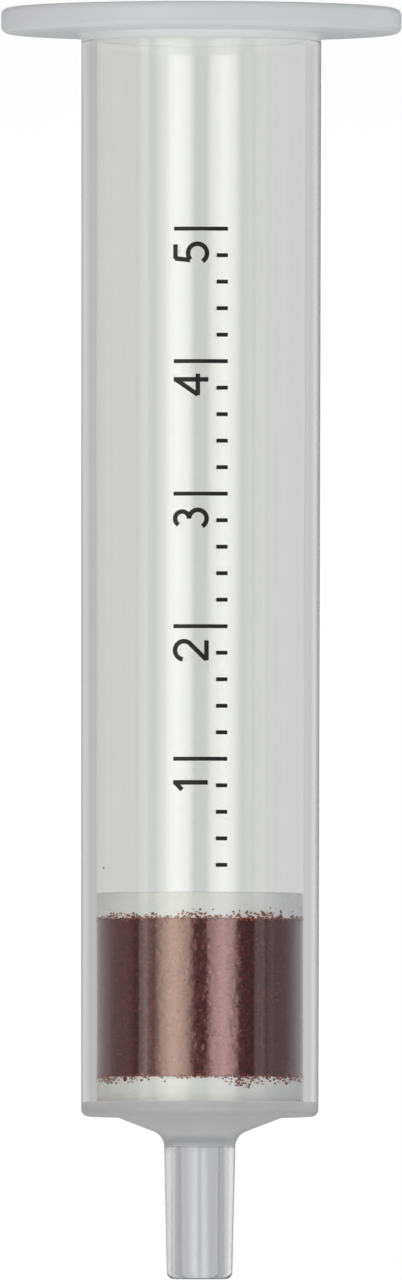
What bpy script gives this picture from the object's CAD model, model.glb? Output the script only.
"""Looks of a clear solid-phase extraction column that stands on its flange, tip up.

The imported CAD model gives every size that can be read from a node's box. The moulded barrel,
the frits and the bed are made again as fine surfaces on the same outlines, and the printed
scale and the loose grains are added. Lengths in this file are millimetres until they go into
a mesh, and the axis of the column is +Z.
"""

import math

import bmesh
import bpy
import numpy as np
from mathutils import Matrix, Vector


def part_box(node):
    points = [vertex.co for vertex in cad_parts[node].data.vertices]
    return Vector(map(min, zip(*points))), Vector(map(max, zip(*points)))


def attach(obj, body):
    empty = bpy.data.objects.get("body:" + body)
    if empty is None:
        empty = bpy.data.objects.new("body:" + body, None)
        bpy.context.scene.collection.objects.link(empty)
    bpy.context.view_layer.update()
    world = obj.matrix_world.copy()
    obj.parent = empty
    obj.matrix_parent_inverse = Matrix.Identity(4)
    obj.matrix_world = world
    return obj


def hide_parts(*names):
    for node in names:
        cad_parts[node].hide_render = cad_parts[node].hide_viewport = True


MM = 0.001
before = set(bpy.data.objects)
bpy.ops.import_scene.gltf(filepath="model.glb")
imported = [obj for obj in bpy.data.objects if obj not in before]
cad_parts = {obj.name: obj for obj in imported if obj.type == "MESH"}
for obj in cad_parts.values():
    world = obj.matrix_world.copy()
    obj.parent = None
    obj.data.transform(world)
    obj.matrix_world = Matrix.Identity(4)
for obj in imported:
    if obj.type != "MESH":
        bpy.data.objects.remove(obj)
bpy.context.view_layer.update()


# ---------------------------------------------------------------- sizes of the column

def node_box(node):
    """A CAD node's lowest and highest corner in millimetres."""
    low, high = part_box(node)
    return np.array(low) / MM, np.array(high) / MM


barrel_low, barrel_high = node_box("barrel")
bed_low, bed_high = node_box("sorbent_bed")
lower_frit_low, lower_frit_high = node_box("lower_frit")
upper_frit_low, upper_frit_high = node_box("upper_frit")

flange_r = min(-barrel_low[0], -barrel_low[1], barrel_high[0], barrel_high[1])
flange_t = 1.5
rim_edge_r = 0.4
floor_t = 0.75
seat_z = lower_frit_high[2]
barrel_l = seat_z + floor_t
tip_end_z = barrel_high[2]
packing_r = bed_high[0]
packing_gap = 0.02
bore_r = packing_r + packing_gap
wall_t = 0.89
draft = math.tan(math.radians(0.075))
mouth_land = 3.5
lip_r = 0.3
root_fillet_r = 0.5
heel_r = 0.45
seat_margin = 3.7
draft_z = upper_frit_low[2] - seat_margin
mouth_r = bore_r + (draft_z - mouth_land) * draft
heel_x = bore_r + wall_t
root_x = heel_x + (barrel_l - flange_t) * draft
# rings of the barrel where its finish changes: at the neck, and just above the floor's inside
neck_z = flange_t + root_fillet_r
floor_ring_z = seat_z - 0.1

cone_slope = math.tan(math.radians(21))
cone_r = 5.15
funnel_r = 4.7
outlet_r = 1.15
tip_l = 8.7
tip_end_r = 1.98
tip_root_r = tip_end_r + tip_l * math.tan(math.radians(1.25))
tip_root_z = tip_end_z - tip_l
tip_fillet_r = 1.0
tip_edge_r = 0.4
rib_count = 6
rib_w = 0.6
rib_start_r = 1.7
frit_edge_r = 0.1


def outer_wall_r(z):
    """Radius of the barrel's outside at the height z, which narrows evenly up to the heel."""
    return heel_x + (barrel_l - z) * draft


# ---------------------------------------------------------------- meshes

SHARP_DEG = 32.0


def make_piece(name, grids, weld=1e-7):
    """One mesh object from grids of points in millimetres.

    Each grid is (points, wraps): points[i, j] is a point, neighbours in i and j are joined by
    quads, and wraps says whether the last column joins the first. Coinciding points are
    welded, so a ring of no radius closes to a pole. Edges that turn by more than SHARP_DEG
    shade crisp.
    """
    vertices, faces, start = [], [], 0
    for points, wraps in grids:
        rows, columns = points.shape[:2]
        number = start + np.arange(rows * columns).reshape(rows, columns)
        right = np.roll(number, -1, axis=1) if wraps else number[:, 1:]
        left = number if wraps else number[:, :-1]
        quads = np.stack([left[:-1], right[:-1], right[1:], left[1:]], axis=-1)
        vertices.append(points.reshape(-1, 3) * MM)
        faces.append(quads.reshape(-1, 4))
        start += rows * columns
    vertices, faces = np.concatenate(vertices), np.concatenate(faces)
    mesh = bpy.data.meshes.new(name)
    mesh.from_pydata(vertices.tolist(), [], faces.tolist())
    shell = bmesh.new()
    shell.from_mesh(mesh)
    bmesh.ops.remove_doubles(shell, verts=shell.verts, dist=weld)
    bmesh.ops.recalc_face_normals(shell, faces=shell.faces)
    shell.to_mesh(mesh)
    shell.free()
    mesh.polygons.foreach_set("use_smooth", np.ones(len(mesh.polygons), bool))
    mesh.set_sharp_from_angle(angle=math.radians(SHARP_DEG))
    mesh.update()
    piece = bpy.data.objects.new(name, mesh)
    bpy.context.scene.collection.objects.link(piece)
    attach(piece, "root")
    return piece


def rounded_outline(corners, steps=12, support=0.012):
    """Points [r, z] along a closed outline whose corners are [r, z, corner radius].

    A rounded corner is the arc that touches both its sides, cut into equal steps, with one
    more point just outside each end of the arc so that the flat walls shade flat.
    """
    corners = np.array(corners, float)
    points = []
    for before, corner, after in zip(np.roll(corners, 1, 0), corners, np.roll(corners, -1, 0)):
        here, radius = corner[:2], corner[2]
        if radius == 0:
            points.append(here[None])
            continue
        to_before = (before[:2] - here) / np.linalg.norm(before[:2] - here)
        to_after = (after[:2] - here) / np.linalg.norm(after[:2] - here)
        half = math.acos(to_before @ to_after) / 2
        middle = (to_before + to_after) / np.linalg.norm(to_before + to_after)
        centre = here + middle * radius / math.sin(half)
        start = here + to_before * radius / math.tan(half)
        first = math.atan2(*(start - centre)[::-1])
        turn = to_before[0] * to_after[1] - to_before[1] * to_after[0]
        sweep = -math.copysign(math.pi - 2 * half, turn)
        angle = first + sweep * np.linspace(0, 1, steps + 1)
        arc = centre + radius * np.stack([np.cos(angle), np.sin(angle)], -1)
        points += [
            (start + to_before * support)[None],
            arc,
            (arc[-1] + to_after * support)[None],
        ]
    return np.concatenate(points)


def lathe(outline, columns, squeeze):
    """Grid of a turned surface.

    Point (i, j) lies at the angle 2 pi j / columns, at the outline's height z_i, and at its
    radius r_i less squeeze[i, j].
    """
    angle = np.arange(columns) * 2 * math.pi / columns
    radius = outline[:, :1] - squeeze
    height = np.broadcast_to(outline[:, 1:2], radius.shape)
    return np.stack([radius * np.cos(angle), radius * np.sin(angle), height], -1)


def barrel_grid(gap_columns=29, rib_columns=9, funnel_rows=13):
    """Grid of the moulded barrel, flange to tip, with the ribbed funnel under the lower frit.

    Each column j belongs to one of the ribs k. Between ribs it stands at an even share of the
    gap, and on a rib at an even share of the rib's width, whose half angle at radius r is
    asin(w / 2r), so that the rib's sides are parallel. The columns at a rib's sides are
    doubled, one at the funnel's depth and one at the seat's level.
    """
    outside = rounded_outline([
        [mouth_r, 0, lip_r],
        [flange_r, 0, rim_edge_r],
        [flange_r, flange_t, rim_edge_r],
        [root_x, flange_t, root_fillet_r],
        [outer_wall_r(floor_ring_z), floor_ring_z, 0],
        [heel_x, barrel_l, heel_r],
        [cone_r, barrel_l, 0],
        [tip_root_r, tip_root_z, tip_fillet_r],
        [tip_end_r, tip_end_z, tip_edge_r],
        [outlet_r, tip_end_z, 0],
        [outlet_r, seat_z, 0],
        [bore_r, seat_z, 0],
        [bore_r, draft_z, 0],
        [mouth_r, mouth_land, 0],
        [mouth_r, neck_z, 0],
    ])
    # the funnel takes the place of the corner where the outlet would meet the seat
    corner = int(np.flatnonzero((outside[:, 0] == outlet_r) & (outside[:, 1] == seat_z))[0])
    funnel_x = np.concatenate([
        [outlet_r, rib_start_r],
        np.linspace(rib_start_r, funnel_r, funnel_rows),
    ])
    funnel_z = seat_z + (funnel_r - funnel_x) * cone_slope
    funnel = np.stack([funnel_x, funnel_z], -1)
    outline = np.concatenate([outside[:corner], funnel, outside[corner + 1:]])
    rib_top = outline[:, 1].copy()
    rib_top[corner + 2:corner + len(funnel)] = seat_z

    radius = outline[:, 0]
    reach = np.full(len(outline), funnel_r)
    reach[corner:corner + len(funnel)] = np.clip(funnel_x, rib_start_r, funnel_r)
    rib_half = np.arcsin(rib_w / 2 / reach)[:, None]
    sector_half = math.pi / rib_count
    gap, rib = np.linspace(0, 1, gap_columns), np.linspace(-1, 1, rib_columns)
    whole = np.concatenate([gap - 1, 0 * rib, gap])
    part = np.concatenate([-gap, rib, 1 - gap])
    on_rib = np.concatenate([gap < 0, rib == rib, gap < 0])
    local = whole * sector_half + part * rib_half
    middle = np.arange(rib_count) * 2 * sector_half
    angle = (middle[None, :, None] + local[:, None, :]).reshape(len(outline), -1)
    height = np.where(np.tile(on_rib, rib_count), rib_top[:, None], outline[:, 1:2])
    grid = np.stack([
        radius[:, None] * np.cos(angle), radius[:, None] * np.sin(angle), height,
    ], -1)
    return np.concatenate([grid, grid[:1]])


def value_noise(shape, cells, seed):
    """Smooth random heights from 0 to 1 on a grid that wraps in its second axis.

    Random values stand at the corners of cells[0] by cells[1] cells, and the heights between
    them follow 3t^2 - 2t^3 in both directions.
    """
    rng = np.random.default_rng(seed)
    corner = rng.random((cells[0] + 1, cells[1]))
    row = np.linspace(0, cells[0], shape[0])
    column = np.arange(shape[1]) * cells[1] / shape[1]
    i, j = np.minimum(row.astype(int), cells[0] - 1), column.astype(int)
    u, v = row - i, column - j
    u, v = (u * u * (3 - 2 * u))[:, None], (v * v * (3 - 2 * v))[None]
    i, j, k = i[:, None], j[None], ((j + 1) % cells[1])[None]
    top = corner[i, j] * (1 - v) + corner[i, k] * v
    bottom = corner[i + 1, j] * (1 - v) + corner[i + 1, k] * v
    return top * (1 - u) + bottom * u


# grains of the packing: cells to the millimetre, and each size's share of the relief
GRAIN_SIZES = ((7, 0.65), (3, 0.35))
DISC_COLUMNS = 480
GRAIN_RELIEF = 0.03


def packed_disc(low_z, high_z, edge_r, rows, seed):
    """Grid of a disc of packed grains: a turned outline with rounded edges.

    Its side is pushed inwards by up to GRAIN_RELIEF millimetres of random heights, the sum of
    one noise for each of GRAIN_SIZES, so that it never swells past its bore.
    """
    arc = np.linspace(0, math.pi / 2, 5)
    side = np.linspace(low_z + edge_r, high_z - edge_r, rows)
    flat_x = packing_r - edge_r
    outline = np.concatenate([
        [[0, low_z], [flat_x * 0.5, low_z]],
        np.stack([flat_x + edge_r * np.sin(arc), low_z + edge_r * (1 - np.cos(arc))], -1)[:-1],
        np.stack([np.full(rows, packing_r), side], -1),
        np.stack([flat_x + edge_r * np.cos(arc), high_z - edge_r * (1 - np.sin(arc))], -1)[1:],
        [[flat_x * 0.5, high_z], [0, high_z]],
    ])
    shape = (len(outline), DISC_COLUMNS)
    around = int(2 * math.pi * packing_r)
    tall = max(2, int(high_z - low_z))
    squeeze = GRAIN_RELIEF * sum(
        share * value_noise(shape, (tall * cells, around * cells), seed + step)
        for step, (cells, share) in enumerate(GRAIN_SIZES)
    )
    squeeze[:2] = squeeze[-2:] = 0
    return lathe(outline, DISC_COLUMNS, squeeze)


INK_SUNK, INK_PROUD = 0.005, 0.012


def stroke_ribbon(path, half_width, place):
    """Grid of a flat stroke of ink: a centre line of points (along, up), and a width.

    Every point is pushed both ways along the mitre of its two neighbouring segments, and
    place(along, up, lift) puts the four lines of the stroke on the barrel, two just under its
    skin and two just over it. The first and last rows shrink to a point each, as end caps.
    """
    path = np.array(path, float)
    step = np.diff(path, axis=0)
    step /= np.linalg.norm(step, axis=1, keepdims=True)
    before, after = np.concatenate([step[:1], step]), np.concatenate([step, step[-1:]])
    normal = np.stack([-(before + after)[:, 1], (before + after)[:, 0]], -1)
    normal /= np.linalg.norm(normal, axis=1, keepdims=True)
    across = np.stack([-before[:, 1], before[:, 0]], -1)
    offset = normal * half_width / np.sum(normal * across, -1, keepdims=True)
    sides = np.stack([path - offset, path + offset, path + offset, path - offset], 1)
    lift = np.array([-INK_SUNK, -INK_SUNK, INK_PROUD, INK_PROUD])
    lift = np.broadcast_to(lift, sides.shape[:2])
    grid = place(sides[..., 0], sides[..., 1], lift)
    caps = [np.broadcast_to(row.mean(0), row.shape)[None] for row in (grid[0], grid[-1])]
    return np.concatenate([caps[0], grid, caps[1]])


def arc_line(centre, radius, from_deg, to_deg, points=22):
    """Points along an arc about the centre, in equal steps of its angle."""
    angle = np.radians(np.linspace(from_deg, to_deg, points))
    return np.array(centre) + radius * np.stack([np.cos(angle), np.sin(angle)], -1)


CHIP_SIDES = 7
CHIP_CLEARANCE, CHIP_HALF_T = 0.002, 0.016


def grain_chips(middles, sizes, seed):
    """Grids of loose grains, each a flat chip with uneven sides that lies against the bore.

    middles are rows of (angle round the axis, height). A chip's rim lies at size times a
    random share of 0.55 to 1, and its two faces close at a point each. Its thickness, which
    is random too, stays within the gap between the packing and the bore.
    """
    rng = np.random.default_rng(seed)
    count = len(middles)
    turn = np.arange(CHIP_SIDES) * 2 * math.pi / CHIP_SIDES + rng.random((count, 1)) * 2 * math.pi
    reach = sizes[:, None] * rng.uniform(0.55, 1.0, (count, CHIP_SIDES))
    share = np.array([0.0, 1.0, 1.0, 0.0])[None, :, None]
    lift = np.array([-1.0, -0.7, 0.7, 1.0])[None, :, None]
    stretch = rng.uniform(0.6, 1.0, (count, 1))
    thickness = CHIP_HALF_T * lift * rng.uniform(0.6, 1.0, (count, 1, 1))
    radius = packing_r + CHIP_CLEARANCE + thickness
    angle = middles[:, None, :1] + (reach * np.cos(turn))[:, None] * share / packing_r
    height = middles[:, None, 1:] + (reach * stretch * np.sin(turn))[:, None] * share
    radius = np.broadcast_to(radius, angle.shape)
    return np.stack([radius * np.cos(angle), radius * np.sin(angle), height], -1)


# ---------------------------------------------------------------- finishes

def srgb(text):
    """Linear colour of an sRGB hex value such as "#d9dad8"."""
    parts = np.array([int(text[i:i + 2], 16) for i in (1, 3, 5)]) / 255
    linear = np.where(parts <= 0.04045, parts / 12.92, ((parts + 0.055) / 1.055) ** 2.4)
    return (*linear.tolist(), 1.0)


def add_node(tree, kind, settings=None, **inputs):
    """Adds a node to the tree.

    settings are its own properties. Each input is a value or a socket to link, and is named
    with _ for a space, or as i and its number.
    """
    node = tree.nodes.new(kind)
    for name, value in (settings or {}).items():
        setattr(node, name, value)
    for name, value in inputs.items():
        if name[0] == "i" and name[1:].isdigit():
            socket = node.inputs[int(name[1:])]
        else:
            socket = node.inputs[name.replace("_", " ")]
        if isinstance(value, bpy.types.NodeSocket):
            tree.links.new(value, socket)
        else:
            socket.default_value = value
    return node


def new_finish(name):
    """An empty material, with its node tree and its output node."""
    finish = bpy.data.materials.new(name)
    finish.use_nodes = True
    tree = finish.node_tree
    tree.nodes.clear()
    return finish, tree, tree.nodes.new("ShaderNodeOutputMaterial")


def polypropylene(name, tint, roughness, clearness):
    """Clarified polypropylene, injection moulded in a polished tool.

    A thin wall is clear, with a gloss a little softer than glass and faint flow lines along
    the draw. Where the moulding is thick it cools slowly and turns milky, so that less light
    goes straight through (clearness) and what does is blurred (roughness).
    """
    finish, tree, output = new_finish(name)
    place = add_node(tree, "ShaderNodeTexCoord").outputs["Object"]
    # flow lines about 0.9 mm apart round the wall and some 25 mm long
    drawn = add_node(tree, "ShaderNodeMapping", Vector=place, Scale=(1100, 1100, 40))
    lines = add_node(tree, "ShaderNodeTexNoise", Vector=drawn.outputs[0], Scale=1.0, Detail=2.0)
    ripple = add_node(
        tree, "ShaderNodeBump", Height=lines.outputs["Fac"], Strength=0.2, Distance=0.00002
    )
    body = add_node(
        tree, "ShaderNodeBsdfPrincipled",
        Base_Color=srgb(tint), Roughness=roughness, IOR=1.49, Transmission_Weight=clearness,
        Normal=ripple.outputs[0],
    )
    tree.links.new(body.outputs[0], output.inputs[0])
    return finish


def sintered_polyethylene():
    """Polyethylene powder, sintered into a porous sheet and punched.

    Matt off-white grains about 0.12 mm wide, with pores between them, in faint clouds about
    0.8 mm wide.
    """
    finish, tree, output = new_finish("sintered_polyethylene_punched")
    place = add_node(tree, "ShaderNodeTexCoord").outputs["Object"]
    grain = add_node(
        tree, "ShaderNodeTexVoronoi", {"feature": "F1"}, Vector=place, Scale=8000.0
    )
    cloud = add_node(tree, "ShaderNodeTexNoise", Vector=place, Scale=1200.0, Detail=4.0)
    tone = add_node(
        tree, "ShaderNodeMix", {"data_type": "RGBA", "blend_type": "MIX"},
        i0=cloud.outputs["Fac"], i6=srgb("#e8eaee"), i7=srgb("#f6f7f9"),
    )
    relief = add_node(
        tree, "ShaderNodeBump", {"invert": True},
        Height=grain.outputs["Distance"], Strength=0.5, Distance=0.00005,
    )
    body = add_node(
        tree, "ShaderNodeBsdfPrincipled",
        Base_Color=tone.outputs[2], Roughness=0.75, IOR=1.5, Normal=relief.outputs[0],
    )
    tree.links.new(body.outputs[0], output.inputs[0])
    return finish


def sorbent_granules():
    """Irregular coated granules, packed dry.

    Dark purple-brown, with a warm sheen towards the lamps, some lighter and redder grains,
    and faint clouds about 1.7 mm wide.
    """
    finish, tree, output = new_finish("sorbent_granules_packed")
    place = add_node(tree, "ShaderNodeTexCoord").outputs["Object"]
    # single grains, drawn 0.13 mm wide so that they show
    grain = add_node(
        tree, "ShaderNodeTexVoronoi", {"feature": "F1"}, Vector=place, Scale=7500.0
    )
    cell = add_node(tree, "ShaderNodeSeparateColor", Color=grain.outputs["Color"])
    spread = add_node(tree, "ShaderNodeValToRGB", Fac=cell.outputs[0])
    ramp = spread.color_ramp
    ramp.elements[0].color, ramp.elements[0].position = srgb("#2c0b10"), 0.0
    ramp.elements[1].color, ramp.elements[1].position = srgb("#6a2e2f"), 1.0
    for position, colour in ((0.4, "#461119"), (0.8, "#541820"), (0.95, "#5e2025")):
        ramp.elements.new(position).color = srgb(colour)
    cloud = add_node(tree, "ShaderNodeTexNoise", Vector=place, Scale=600.0, Detail=3.0)
    shade = add_node(
        tree, "ShaderNodeMix", {"data_type": "RGBA", "blend_type": "MULTIPLY"},
        i0=0.35, i6=spread.outputs[0], i7=cloud.outputs["Color"],
    )
    relief = add_node(
        tree, "ShaderNodeBump", {"invert": True},
        Height=grain.outputs["Distance"], Strength=0.1, Distance=0.00006,
    )
    body = add_node(
        tree, "ShaderNodeBsdfPrincipled",
        Base_Color=shade.outputs[2], Roughness=0.15, IOR=1.8, Specular_IOR_Level=0.72,
        Specular_Tint=srgb("#ffc4c2"), Normal=relief.outputs[0],
    )
    tree.links.new(body.outputs[0], output.inputs[0])
    return finish


def printing_ink():
    """Pad-printed ink, cured on the barrel.

    Black, thin and half matt, with a skin of fine waves some 0.2 mm wide.
    """
    finish, tree, output = new_finish("printing_ink_black")
    place = add_node(tree, "ShaderNodeTexCoord").outputs["Object"]
    skin = add_node(tree, "ShaderNodeTexNoise", Vector=place, Scale=5000.0, Detail=2.0)
    tone = add_node(
        tree, "ShaderNodeMix", {"data_type": "RGBA"},
        i0=skin.outputs["Fac"], i6=srgb("#0d0d0e"), i7=srgb("#191919"),
    )
    relief = add_node(
        tree, "ShaderNodeBump", Height=skin.outputs["Fac"], Strength=0.3, Distance=0.00001
    )
    body = add_node(
        tree, "ShaderNodeBsdfPrincipled",
        Base_Color=tone.outputs[2], Roughness=0.45, IOR=1.5, Normal=relief.outputs[0],
    )
    tree.links.new(body.outputs[0], output.inputs[0])
    return finish


def loose_sorbent():
    """The same granules on their own.

    Thin enough for light to shine through, so redder, with each grain a little lighter or
    darker than the next.
    """
    finish, tree, output = new_finish("sorbent_granules_loose")
    place = add_node(tree, "ShaderNodeTexCoord").outputs["Object"]
    cloud = add_node(tree, "ShaderNodeTexNoise", Vector=place, Scale=4000.0, Detail=1.0)
    spread = add_node(tree, "ShaderNodeValToRGB", Fac=cloud.outputs["Fac"])
    ramp = spread.color_ramp
    ramp.elements[0].color, ramp.elements[0].position = srgb("#5a1f17"), 0.3
    ramp.elements[1].color, ramp.elements[1].position = srgb("#b4674c"), 0.75
    body = add_node(
        tree, "ShaderNodeBsdfPrincipled", Base_Color=spread.outputs[0], Roughness=0.4, IOR=1.5,
    )
    tree.links.new(body.outputs[0], output.inputs[0])
    return finish


def barrel_finish(mesh):
    """Which of the barrel's finishes each face takes, by the middle of the face.

    The wall has the first. The neck is the fillet behind the flange and the bore within it,
    and the tip's root is the upper end of the fillet between the cone and the tip.
    """
    wall, flange, floor, tip, neck, root = range(6)
    middle = np.empty(len(mesh.polygons) * 3)
    mesh.polygons.foreach_get("center", middle)
    middle = middle.reshape(-1, 3) / MM
    radius, height = np.hypot(middle[:, 0], middle[:, 1]), middle[:, 2]
    in_flange = height < neck_z
    in_neck = in_flange & ((height > flange_t + 0.05) | (radius < mouth_r + 0.1))
    in_floor = height > floor_ring_z + 0.05
    in_root = height > tip_root_z + 0.1
    in_tip = height > tip_root_z + 0.7
    return np.select(
        [in_tip, in_root, in_floor, in_neck, in_flange], [tip, root, floor, neck, flange], wall
    )


# ---------------------------------------------------------------- the pieces

barrel = make_piece("moulded_barrel", [(barrel_grid(), True)])
for name, tint, roughness, clearness in (
    ("thin_wall", "#fcfdfc", 0.03, 1.0),
    ("thick_flange", "#dee0e2", 0.4, 0.2),
    ("thick_floor", "#cfcfd0", 0.4, 0.4),
    ("tip", "#eff0f2", 0.15, 1.0),
    ("neck", "#fafbfb", 0.4, 0.35),
    ("tip_root", "#dfe1e2", 0.35, 0.6),
):
    barrel.data.materials.append(
        polypropylene("polypropylene_" + name, tint, roughness, clearness)
    )
barrel.data.polygons.foreach_set("material_index", barrel_finish(barrel.data))
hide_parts("barrel")

white_frit = sintered_polyethylene()
frit_rows, bed_rows = 24, 100
bed_edge_r = 0.04
for name, node, low, high, seed in (
    ("upper_frit_disc", "upper_frit", upper_frit_low, upper_frit_high, 11),
    ("lower_frit_disc", "lower_frit", lower_frit_low, lower_frit_high, 23),
):
    grid = packed_disc(low[2], high[2], frit_edge_r, frit_rows, seed)
    disc = make_piece(name, [(grid, True)])
    disc.data.materials.append(white_frit)
    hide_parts(node)

grid = packed_disc(bed_low[2], bed_high[2], bed_edge_r, bed_rows, 37)
bed = make_piece("granule_bed", [(grid, True)])
bed.data.materials.append(sorbent_granules())
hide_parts("sorbent_bed")

# The printed scale: a short line at every fifth of a millilitre, and a long one with its
# number at every millilitre.
print_height = 3.3
short_line = 0.7
line_half, number_half = 0.12, 0.14
line_points, stroke_points = 13, 9
letter_height = 3.3
number_scale = 0.64
number_foot = print_height - letter_height * number_scale
number_start = 2.1
lines_per_ml = 5
millilitre = 1000 / (math.pi * bore_r ** 2)


def on_barrel(z_start):
    """How to place a point of print on the barrel's -Y side, from a start at the height z_start.

    Along runs towards the flange and up towards +X, on the curve of the wall: the angle is the
    distance up over the wall's radius there.
    """
    def place(along, up, lift):
        height = z_start - along
        radius = outer_wall_r(height) + lift
        angle = (up - print_height / 2) / outer_wall_r(height)
        return np.stack([radius * np.sin(angle), -radius * np.cos(angle), height], -1)
    return place


# centre lines of the strokes of each number, in millimetres and before number_scale
NUMBER_STROKES = {
    1: [[(0.35, 2.45), (1.1, 3.15)], [(1.05, 3.3), (1.05, 0.0)]],
    2: [
        arc_line((1.0, 2.28), 0.86, 172, -38),
        [(1.72, 1.8), (0.1, 0.15)],
        [(0.05, 0.15), (1.95, 0.15)],
    ],
    3: [arc_line((0.92, 2.48), 0.67, 150, -90), arc_line((0.92, 0.98), 0.83, 90, -150)],
    4: [[(1.55, 0.0), (1.55, 3.3)], [(1.62, 3.2), (0.1, 1.0)], [(0.05, 1.0), (2.1, 1.0)]],
    5: [
        [(1.8, 3.15), (0.42, 3.15)],
        [(0.47, 3.2), (0.3, 1.75)],
        arc_line((0.95, 1.05), 0.9, 132, -148),
    ],
}
strokes = []
for count in range(1, lines_per_ml * len(NUMBER_STROKES) + 1):
    line_z = upper_frit_low[2] - count * millilitre / lines_per_ml
    line_end = short_line if count % lines_per_ml else print_height
    line = np.stack([np.zeros(line_points), np.linspace(0, line_end, line_points)], -1)
    strokes.append(stroke_ribbon(line, line_half, on_barrel(line_z)))
for number, paths in NUMBER_STROKES.items():
    start_z = upper_frit_low[2] - number * millilitre + number_start
    for path in paths:
        if len(path) == 2:
            path = np.linspace(path[0], path[1], stroke_points)
        path = path * number_scale + (0, number_foot)
        strokes.append(stroke_ribbon(path, number_half, on_barrel(start_z)))
printed_scale = make_piece("printed_scale", [(grid, True) for grid in strokes], weld=1e-8)
printed_scale.data.materials.append(printing_ink())

# Loose grains between the frits and the wall, thickest in a few places, and a few higher up.
rng = np.random.default_rng(71)
drifts = (
    # middle and spread in degrees from the camera's side (180 is evenly all round), height,
    # spread in height, number of grains, size
    (0, 180, bed_low[2] - 0.02, 0.16, 700, 0.11),
    (0, 180, bed_high[2] + 0.02, 0.16, 620, 0.11),
    (-4, 9, bed_low[2] - 0.24, 0.26, 46, 0.11),
    (33, 20, bed_low[2] - 0.24, 0.3, 70, 0.11),
    (-40, 26, bed_low[2] - 0.2, 0.2, 40, 0.11),
    (140, 40, bed_low[2] - 0.25, 0.3, 90, 0.13),
    (-130, 30, bed_low[2] - 0.2, 0.25, 60, 0.12),
    (22, 12, bed_high[2] + 0.3, 0.36, 60, 0.11),
    (-45, 30, bed_high[2] + 0.2, 0.2, 60, 0.11),
    (52, 14, bed_high[2] + 0.25, 0.2, 30, 0.12),
    (-150, 35, bed_high[2] + 0.25, 0.3, 80, 0.13),
    (0, 180, bed_low[2] - 0.7, 0.5, 26, 0.045),
    (-60, 1, upper_frit_low[2] - 1.5, 0.05, 3, 0.09),
)
middles, sizes = [], []
for middle, spread, height, rise, count, size in drifts:
    around = rng.uniform(-1, 1, count) if spread == 180 else rng.normal(0, 0.5, count)
    angles = np.radians(-90 - (around * spread + middle))
    heights = height + rng.normal(0, 0.5, count) * rise
    middles.append(np.stack([angles, heights], -1))
    sizes.append(size * rng.uniform(0.4, 1.0, count))
chips = grain_chips(np.concatenate(middles), np.concatenate(sizes), 5)
loose_grains = make_piece("loose_grains", [(grid, True) for grid in chips], weld=1e-8)
loose_grains.data.materials.append(loose_sorbent())


# ---------------------------------------------------------------- floor, lamps, world and camera

def ray_mix(tree, plain, glossy, straight, through, camera):
    """Colour socket by what the light does on its way.

    It is plain for light on the object, glossy for what shines in it, straight for what is
    seen straight through it, through for light that bounced inside it first, and camera for
    the camera itself.
    """
    path = add_node(tree, "ShaderNodeLightPath").outputs
    bounces = add_node(
        tree, "ShaderNodeMath", {"operation": "ADD"},
        i0=path["Glossy Depth"], i1=path["Diffuse Depth"],
    ).outputs[0]
    bounced = add_node(
        tree, "ShaderNodeMath", {"operation": "MULTIPLY", "use_clamp": True},
        i0=path["Is Transmission Ray"], i1=bounces,
    ).outputs[0]
    colour = plain
    for share, other in (
        (path["Is Glossy Ray"], glossy),
        (path["Is Transmission Ray"], straight),
        (bounced, through),
        (path["Is Camera Ray"], camera),
    ):
        colour = add_node(
            tree, "ShaderNodeMix", {"data_type": "RGBA"}, i0=share, i6=colour, i7=other
        ).outputs[2]
    return colour


def grey(value):
    """A neutral linear colour."""
    return (value, value, value, 1.0)


# The studio round the column is dim, with light surfaces that stand upright in it. Azimuth 0
# is the camera's side and positive azimuths go towards -X.
dim_through, dim_mirrored = 0.2, 0.02
plain, mauve, pink = (1.0, 1.0, 1.0), (1.0, 0.9, 1.06), (1.0, 0.62, 0.68)
warm, rosy = (1.0, 0.99, 0.85), (1.0, 0.97, 0.95)
LIGHT_SURFACES = (
    # azimuth, half width and soft edge in degrees, brightness through plastic, mirrored, tint
    (180, 70, 20, 0.28, 0.0, plain),
    (180, 20, 20, 0.2, 0.1, plain),
    (-158, 22, 24, 0.05, 0.3, plain),
    (-95, 18, 10, 0.1, 0.0, plain),
    (-98, 30, 14, 0.0, 0.46, pink),
    (134, 14, 16, 0.0, 0.9, plain),
    # a strip light, a softbox and its lamp at the left
    (-57, 4, 5, 0.8, 1.5, rosy),
    (-27, 15, 16, 2.15, 1.55, warm),
    (-27, 5, 6, 0.6, 0.5, warm),
    # a softbox, its lamp and two reflectors at the right
    (24, 12, 15, 2.4, 0.0, rosy),
    (24, 11, 13, 0.0, 0.36, mauve),
    (24, 3, 4, 0.4, 0.3, rosy),
    (60, 5, 5, 0.0, 1.2, rosy),
    (70, 6, 6, 0.0, 0.5, rosy),
    (100, 28, 14, 0.0, 0.62, mauve),
)


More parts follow.
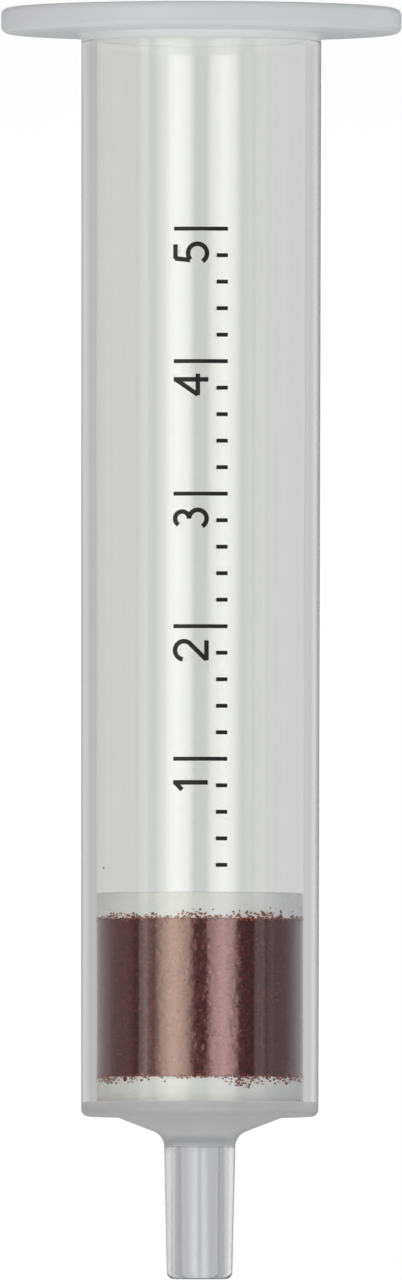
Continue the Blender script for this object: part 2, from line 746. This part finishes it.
def studio_round(tree, direction):
    """Colour sockets of the studio's brightness in a direction, through plastic and mirrored.

    Each light surface counts where the cosine of the angle between its azimuth and the level
    part of the direction passes from that of its outer edge to that of its inner edge.
    """
    level = add_node(
        tree, "ShaderNodeVectorMath", {"operation": "NORMALIZE"},
        Vector=add_node(
            tree, "ShaderNodeVectorMath", {"operation": "MULTIPLY"}, i0=direction, i1=(1, 1, 0)
        ).outputs[0],
    ).outputs[0]
    seen = [grey(dim_through), grey(dim_mirrored)]
    for azimuth, half, edge, through, mirrored, tint in LIGHT_SURFACES:
        azimuth = math.radians(azimuth)
        cosine = add_node(
            tree, "ShaderNodeVectorMath", {"operation": "DOT_PRODUCT"},
            i0=level, i1=(-math.sin(azimuth), -math.cos(azimuth), 0),
        ).outputs["Value"]
        share = add_node(
            tree, "ShaderNodeMapRange", {"interpolation_type": "SMOOTHSTEP"}, Value=cosine,
            From_Min=math.cos(math.radians(half + edge / 2)),
            From_Max=math.cos(math.radians(half - edge / 2)), To_Min=0.0, To_Max=1.0,
        ).outputs[0]
        for kind, brightness in enumerate((through, mirrored)):
            if brightness:
                seen[kind] = add_node(
                    tree, "ShaderNodeMix", {"data_type": "RGBA", "blend_type": "ADD"}, i0=share,
                    i6=seen[kind], i7=(*(brightness * part for part in tint), 1.0),
                ).outputs[2]
    return seen


# linear brightness of the studio: plain light, the overhead part through plastic and mirrored,
# and what is seen straight through plastic
plain_glow = 0.5
high_glow, high_shine = 1.15, 0.45
straight_glow = 0.7
studio = bpy.data.worlds.new("studio")
bpy.context.scene.world = studio
studio.use_nodes = True
tree = studio.node_tree
tree.nodes.clear()
direction = add_node(tree, "ShaderNodeTexCoord").outputs["Generated"]
upward = add_node(tree, "ShaderNodeSeparateXYZ", Vector=direction).outputs[2]
height = add_node(tree, "ShaderNodeMath", {"operation": "ABSOLUTE"}, i0=upward).outputs[0]
# the upright surfaces end between 12 and 30 degrees above and below the level
overhead = add_node(
    tree, "ShaderNodeMapRange", {"interpolation_type": "SMOOTHSTEP"},
    Value=height, From_Min=0.2, From_Max=0.5, To_Min=0.0, To_Max=1.0,
).outputs[0]
level_through, level_mirrored = studio_round(tree, direction)
through = add_node(
    tree, "ShaderNodeMix", {"data_type": "RGBA"},
    i0=overhead, i6=level_through, i7=grey(high_glow),
).outputs[2]
shine = add_node(
    tree, "ShaderNodeMix", {"data_type": "RGBA"},
    i0=overhead, i6=level_mirrored, i7=grey(high_shine),
).outputs[2]
sky = ray_mix(tree, grey(plain_glow), shine, grey(straight_glow), through, grey(1.0))
light = add_node(tree, "ShaderNodeBackground", Color=sky, Strength=1.0)
tree.links.new(light.outputs[0], add_node(tree, "ShaderNodeOutputWorld").inputs[0])

# the floor, in metres, a hair under the flange
half_side, floor_z = 12.0, -2e-5
floor_mesh = bpy.data.meshes.new("pale_floor")
floor_mesh.from_pydata(
    [(x * half_side, y * half_side, floor_z) for x, y in ((-1, -1), (1, -1), (1, 1), (-1, 1))],
    [], [(0, 1, 2, 3)],
)
pale_floor = bpy.data.objects.new("pale_floor", floor_mesh)
bpy.context.scene.collection.objects.link(pale_floor)
pale_floor.visible_glossy = False

finish, tree, output = new_finish("pale_floor")
place = add_node(tree, "ShaderNodeTexCoord").outputs["Object"]
away = add_node(
    tree, "ShaderNodeVectorMath", {"operation": "LENGTH"}, Vector=place
).outputs["Value"]


def by_distance(start, end, near_colour, far_colour):
    """Colour socket that turns smoothly from one colour to another between two distances.

    The distances are from the middle of the floor, in metres.
    """
    nearness = add_node(
        tree, "ShaderNodeMapRange", {"interpolation_type": "SMOOTHSTEP"},
        Value=away, From_Min=start, From_Max=end, To_Min=1.0, To_Max=0.0,
    ).outputs[0]
    return add_node(
        tree, "ShaderNodeMix", {"data_type": "RGBA"}, i0=nearness, i6=far_colour, i7=near_colour
    ).outputs[2]


floor_colour, floor_glow, floor_shine = 0.8, 0.2, 0.6
# the camera sees white, and near the column a share of the shadow too
shadow_share, shadow_start, shadow_end = 0.1, 0.06, 0.3
matt_for_camera = by_distance(shadow_start, shadow_end, grey(shadow_share), grey(0.0))
glow_for_camera = by_distance(shadow_start, shadow_end, grey(1.0 - shadow_share), grey(1.0))
# through plastic the floor carries on the studio round it
glow_through = by_distance(0.02, 0.06, grey(high_glow), studio_round(tree, place)[0])
# the floor inside the column is lit through the clear wall
rim_blend = 0.4
glow_on_object = by_distance(
    (mouth_r - rim_blend) * MM, (mouth_r + rim_blend) * MM, grey(1.0), grey(floor_glow)
)
matt = ray_mix(tree, grey(floor_colour), grey(0.0), grey(0.0), grey(0.0), matt_for_camera)
glow = ray_mix(
    tree, glow_on_object, grey(floor_shine), grey(straight_glow), glow_through, glow_for_camera
)
body = add_node(tree, "ShaderNodeBsdfDiffuse", Color=matt)
lamp = add_node(tree, "ShaderNodeEmission", Color=glow, Strength=1.0)
both = add_node(tree, "ShaderNodeAddShader", i0=body.outputs[0], i1=lamp.outputs[0])
tree.links.new(both.outputs[0], output.inputs[0])
floor_mesh.materials.append(finish)

# Soft lamps that light the column but don't shine in it. Each is flat, faces the column and
# spans 40 degrees of azimuth, and heights from 25 to 60 degrees. The radiance L of a lamp of
# area A takes a power of pi A L.
lamp_distance, aim_z = 0.6, 0.040
lamp_height = math.radians((25 + 60) / 2)
lamp_width = 2 * lamp_distance * math.tan(math.radians(40 / 2))
lamp_tallness = 2 * lamp_distance * math.tan(math.radians((60 - 25) / 2))
level_share = math.cos(lamp_height)
for name, azimuth, radiance in (
    ("left_key", -50, 2.2), ("right_key", 50, 2.0), ("back_fill", 180, 1.2),
):
    data = bpy.data.lights.new(name, "AREA")
    data.shape = "RECTANGLE"
    data.size, data.size_y = lamp_width, lamp_tallness
    data.energy = radiance * math.pi * data.size * data.size_y
    azimuth = math.radians(azimuth)
    outward = Vector((
        -math.sin(azimuth) * level_share, -math.cos(azimuth) * level_share, math.sin(lamp_height),
    ))
    lamp = bpy.data.objects.new(name, data)
    lamp.location = Vector((0, 0, aim_z)) + outward * lamp_distance
    lamp.rotation_mode = "QUATERNION"
    lamp.rotation_quaternion = outward.to_track_quat("Z", "Y")
    lamp.visible_glossy = lamp.visible_transmission = False
    bpy.context.scene.collection.objects.link(lamp)

# The camera stands far off with a long lens, a little above the column, and is rolled by half
# a turn, so that the tip points down in its picture.
camera_data = bpy.data.cameras.new("camera")
camera = bpy.data.objects.new("camera", camera_data)
bpy.context.scene.collection.objects.link(camera)
bpy.context.scene.camera = camera
eye = Vector((0.0, -2.75, 0.1135))
target = Vector((-0.000035, 0.0, 0.0383))
roll = math.radians(0.0814)
backward = (eye - target).normalized()
up = Vector((math.sin(roll), 0, -math.cos(roll)))
side = up.cross(backward).normalized()
up = backward.cross(side)
camera.matrix_world = Matrix.Translation(eye) @ Matrix((side, up, backward)).transposed().to_4x4()
camera_data.sensor_fit = "VERTICAL"
camera_data.sensor_height = 36
camera_data.sensor_width = 90
camera_data.lens = 1276
camera_data.clip_start = 0.1
camera_data.clip_end = 30

scene = bpy.context.scene
scene.view_settings.view_transform = "Standard"
scene.cycles.max_bounces = 24
scene.cycles.transmission_bounces = 24
scene.cycles.glossy_bounces = 16
